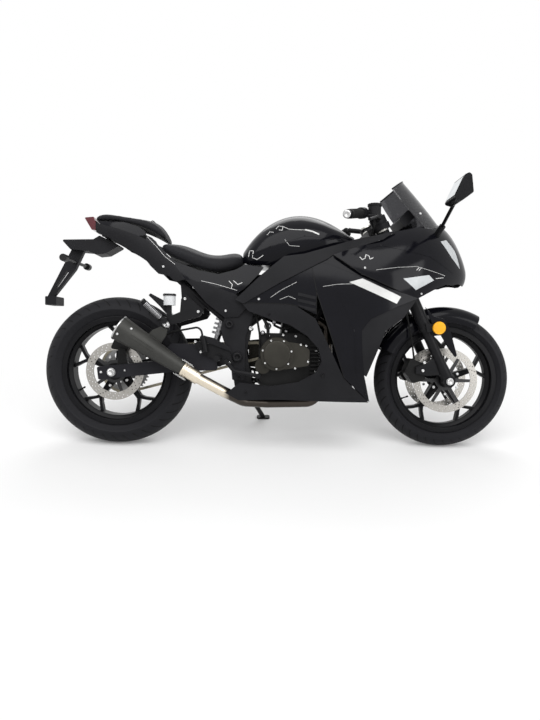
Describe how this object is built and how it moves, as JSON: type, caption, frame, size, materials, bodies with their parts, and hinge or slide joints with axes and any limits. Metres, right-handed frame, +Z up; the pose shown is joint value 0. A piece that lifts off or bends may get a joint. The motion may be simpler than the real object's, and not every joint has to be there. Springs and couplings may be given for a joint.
{
  "type": "sport motorcycle",
  "caption": "Faired single-cylinder sport motorcycle leaning on its side stand, with turning steering, free wheels, folding stand and hinged filler cap.",
  "frame": {"origin": "on the floor, under the middle of the parked motorcycle's bounding box", "axes": "+X forward, +Y to the rider's left, which is the side that it leans to, +Z up"},
  "size_m": [2.0099, 0.7716, 1.1265],
  "materials": {
    "wheel_black": "satin",
    "tyre": "matte",
    "disc_steel": "satin",
    "sprocket_steel": "satin",
    "chain_steel": "satin",
    "axle_steel": "satin",
    "swingarm_black": "satin",
    "frame_black": "satin",
    "shock_steel": "satin",
    "engine_black": "satin",
    "cover_bronze": "satin",
    "radiator": "matte",
    "pipe_steel": "satin",
    "muffler_grey": "matte",
    "gloss_black": "gloss",
    "cap_metal": "satin",
    "seat_vinyl": "satin",
    "matte_plastic": "matte",
    "red_lens": "gloss",
    "indicator": "gloss",
    "clear_lens": "gloss",
    "smoked_screen": "gloss",
    "mirror_black": "satin",
    "fork_black": "satin",
    "bar_black": "satin",
    "grip_rubber": "matte",
    "control_black": "satin",
    "caliper_black": "satin",
    "reservoir": "satin",
    "hose_rubber": "satin",
    "footrest_alloy": "satin",
    "amber_lens": "gloss"
  },
  "bodies": {
    "chassis": {"chain": "chain_steel", "rear_axle": "axle_steel", "swingarm": "swingarm_black", "frame": "frame_black", "subframe": "frame_black", "shock": "shock_steel", "engine": "engine_black", "engine_covers": "cover_bronze", "radiator": "radiator", "exhaust_pipe": "pipe_steel", "muffler": "muffler_grey", "fuel_tank": "gloss_black", "rider_seat": "seat_vinyl", "pillion_seat": "seat_vinyl", "tail_panels": "gloss_black", "side_covers": "matte_plastic", "tail_light": "red_lens", "plate_hanger": "matte_plastic", "rear_indicators": "indicator", "side_fairings": "gloss_black", "lower_fairings": "matte_plastic", "frame_covers": "matte_plastic", "headlamps": "clear_lens", "nose_fairing": "gloss_black", "windscreen": "smoked_screen", "instrument_panel": "matte_plastic", "mirrors": "mirror_black", "rear_caliper": "caliper_black", "brake_reservoir": "reservoir", "rear_brake_hose": "hose_rubber", "chain_guard": "matte_plastic", "footrests": "footrest_alloy", "foot_controls": "control_black", "pivot_covers": "matte_plastic"},
    "steering": {"yokes": "fork_black", "fork_legs": "fork_black", "handlebars": "bar_black", "grips": "grip_rubber", "hand_controls": "control_black", "front_fender": "gloss_black", "front_calipers": "caliper_black", "front_brake_hoses": "hose_rubber", "front_axle": "axle_steel", "fork_reflectors": "amber_lens"},
    "front_wheel": {"front_rim": "wheel_black", "front_tyre": "tyre", "front_discs": "disc_steel"},
    "rear_wheel": {"rear_rim": "wheel_black", "rear_tyre": "tyre", "rear_disc": "disc_steel", "rear_sprocket": "sprocket_steel"},
    "side_stand": {"side_stand": "frame_black"},
    "fuel_cap": {"fuel_cap": "cap_metal"}
  },
  "joints": [
    {"name": "steering_turn", "type": "hinge", "parent": "chassis", "child": "steering", "pos_m": [0.68312, -0.14272, 0.27435], "axis": [-0.4305, 0.1877, 0.8829], "range_deg": [-26, 26]},
    {"name": "front_wheel_spin", "type": "hinge", "parent": "steering", "child": "front_wheel", "pos_m": [0.712, -0.13986, 0.28782], "axis": [0, 0.9781, -0.2079], "continuous": true},
    {"name": "rear_wheel_spin", "type": "hinge", "parent": "chassis", "child": "rear_wheel", "pos_m": [-0.69, -0.13521, 0.30969], "axis": [0, 0.9781, -0.2079], "continuous": true},
    {"name": "side_stand_fold", "type": "hinge", "parent": "chassis", "child": "side_stand", "pos_m": [-0.138, -0.03818, 0.18417], "axis": [0.2407, 0.7149, 0.6565], "range_deg": [0, 100]},
    {"name": "fuel_cap_lid", "type": "hinge", "parent": "chassis", "child": "fuel_cap", "pos_m": [0.18041, -0.00135, 0.93944], "axis": [0, 0.9781, -0.2079], "range_deg": [0, 95]}
  ]
}
